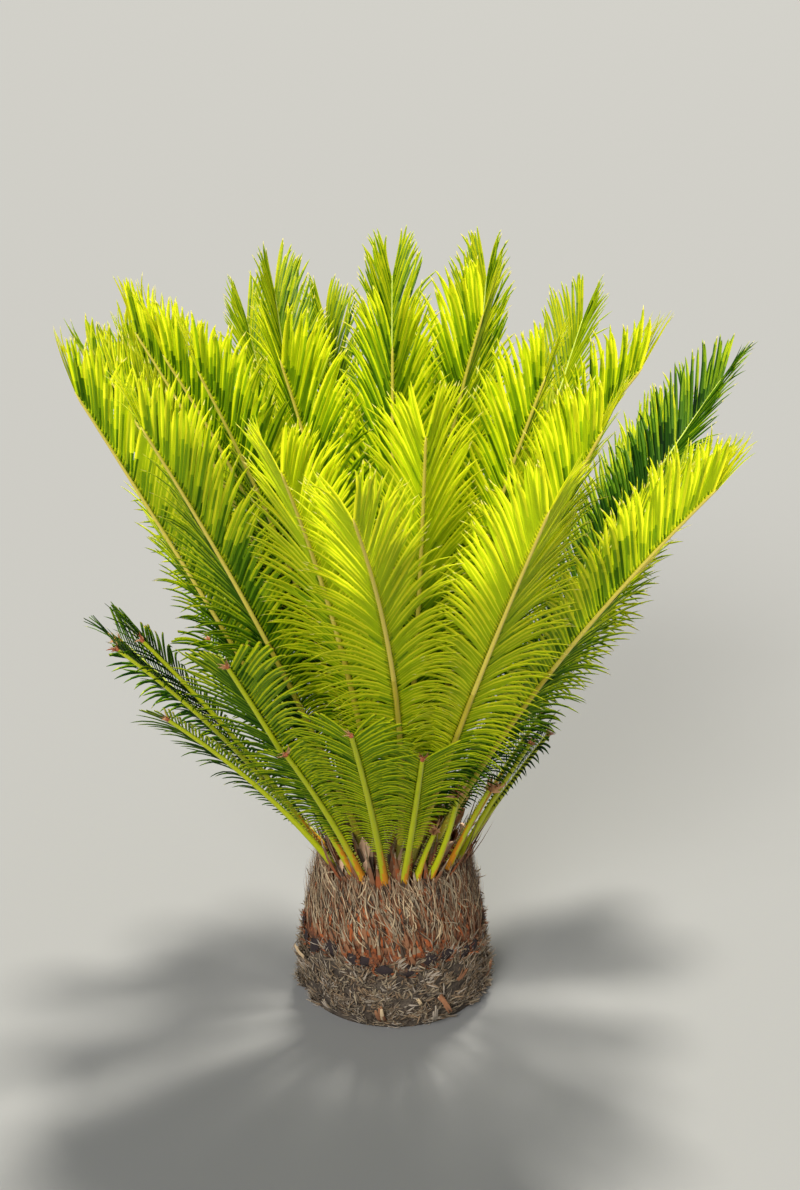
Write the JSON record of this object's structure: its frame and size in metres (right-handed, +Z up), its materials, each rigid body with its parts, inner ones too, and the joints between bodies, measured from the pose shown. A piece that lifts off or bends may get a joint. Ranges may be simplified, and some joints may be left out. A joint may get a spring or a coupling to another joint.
{
  "type": "sago palm",
  "caption": "Young sago palm rooted in the ground: a short barrel trunk clad in old leaf bases, under a vase of stiff feather fronds and a ring of cut-back older ones.",
  "frame": {"origin": "middle of the flat cut under the trunk, at ground level", "axes": "+Z up along the trunk; -Y towards the side that the picture shows, +X to its right"},
  "size_m": [0.9283, 1.1937, 1.0159],
  "materials": {
    "trunk_bark": "rough, matted dry leaf bases with rust-brown felt between them",
    "young_frond": "leathery, yellow-green, with a soft sheen",
    "old_frond": "leathery, dark green, with a soft sheen"
  },
  "bodies": {
    "root": {"trunk": "trunk_bark", "young_frond_01": "young_frond", "young_frond_02": "young_frond", "young_frond_03": "young_frond", "young_frond_04": "young_frond", "young_frond_05": "young_frond", "young_frond_06": "young_frond", "young_frond_07": "young_frond", "young_frond_08": "young_frond", "young_frond_09": "young_frond", "young_frond_10": "young_frond", "young_frond_11": "young_frond", "young_frond_12": "young_frond", "young_frond_13": "young_frond", "young_frond_14": "young_frond", "young_frond_15": "young_frond", "young_frond_16": "young_frond", "young_frond_17": "young_frond", "young_frond_18": "young_frond", "young_frond_19": "young_frond", "young_frond_20": "young_frond", "young_frond_21": "young_frond", "young_frond_22": "young_frond", "young_frond_23": "young_frond", "young_frond_24": "young_frond", "young_frond_25": "young_frond", "young_frond_26": "young_frond", "young_frond_27": "young_frond", "young_frond_28": "young_frond", "young_frond_29": "young_frond", "young_frond_30": "young_frond", "young_frond_31": "young_frond", "young_frond_32": "young_frond", "young_frond_33": "young_frond", "young_frond_34": "young_frond", "young_frond_35": "young_frond", "young_frond_36": "young_frond", "young_frond_37": "young_frond", "young_frond_38": "young_frond", "young_frond_39": "young_frond", "old_frond_01": "old_frond", "old_frond_02": "old_frond", "old_frond_03": "old_frond", "old_frond_04": "old_frond", "old_frond_05": "old_frond", "old_frond_06": "old_frond", "old_frond_07": "old_frond", "old_frond_08": "old_frond", "old_frond_09": "old_frond", "old_frond_10": "old_frond", "old_frond_11": "old_frond", "old_frond_12": "old_frond", "old_frond_13": "old_frond", "old_frond_14": "old_frond", "old_frond_15": "old_frond", "old_frond_16": "old_frond", "old_frond_17": "old_frond", "old_frond_18": "old_frond", "old_frond_19": "old_frond", "old_frond_20": "old_frond"}
  },
  "joints": []
}
